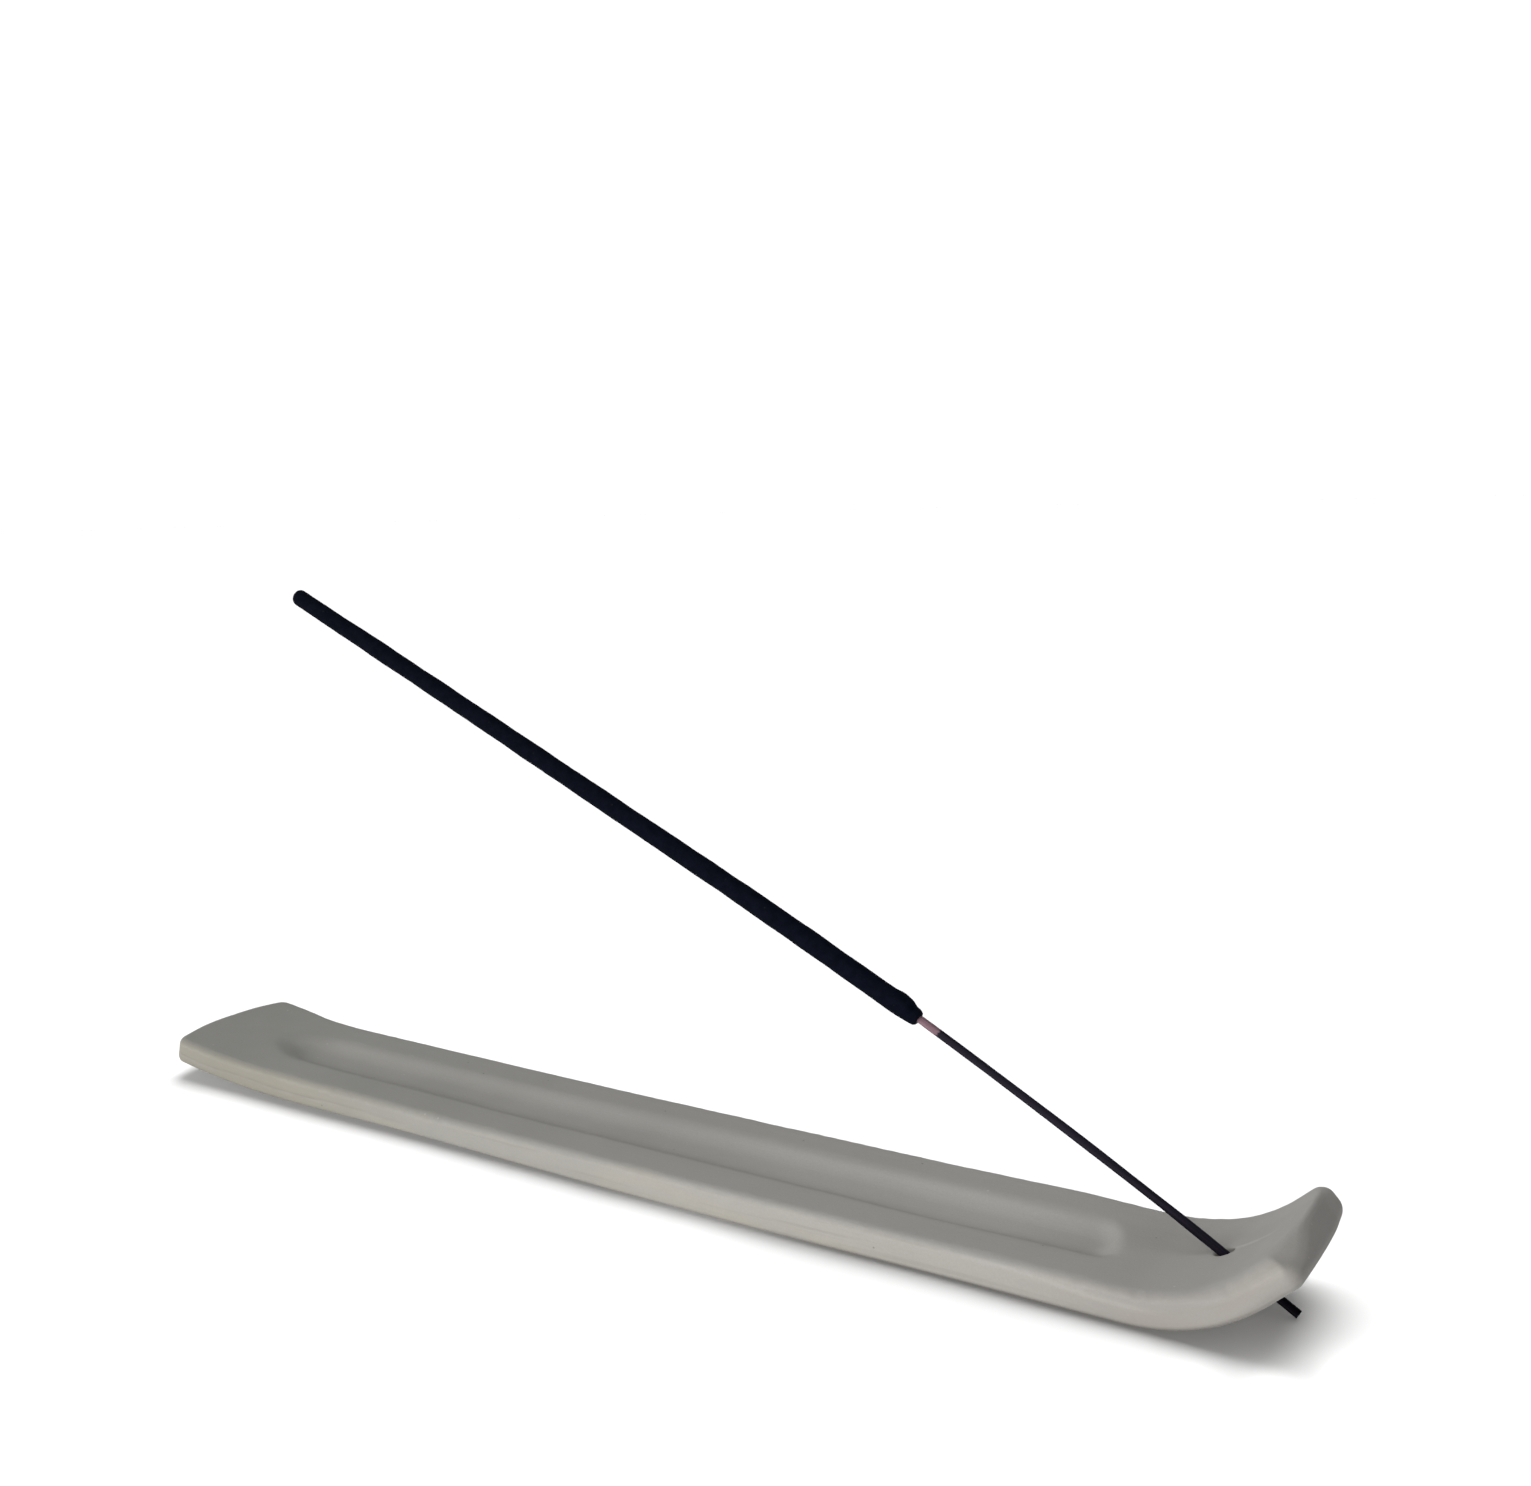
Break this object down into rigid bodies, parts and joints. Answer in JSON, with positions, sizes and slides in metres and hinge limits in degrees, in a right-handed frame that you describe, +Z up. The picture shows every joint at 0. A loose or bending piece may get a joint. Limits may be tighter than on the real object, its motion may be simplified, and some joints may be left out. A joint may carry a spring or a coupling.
{
  "type": "incense burner",
  "caption": "Long ski-shaped incense burner: a cast grey tray with a shallow ash trough and a curled end whose slanted hole holds a removable incense stick.",
  "frame": {"origin": "on the surface that the tray stands on, under the middle of the tray's length and width", "axes": "+X along the tray towards its curled end, +Y across the tray, +Z up"},
  "size_m": [0.245, 0.03, 0.106],
  "materials": {
    "cast_grey": "matte, fine cast mineral surface, unglazed",
    "dyed_bamboo": "dyed near-black bamboo with a short undyed band",
    "incense_black": "dry, matte pressed charcoal and wood powder"
  },
  "bodies": {
    "tray": {"tray": "cast_grey"},
    "stick": {"bamboo_core": "dyed_bamboo", "incense_paste": "incense_black"}
  },
  "joints": [
    {"name": "stick_slide", "type": "slide", "parent": "tray", "child": "stick", "axis": [-0.8585, 0, 0.5128], "range_m": [0, 0.03]}
  ]
}
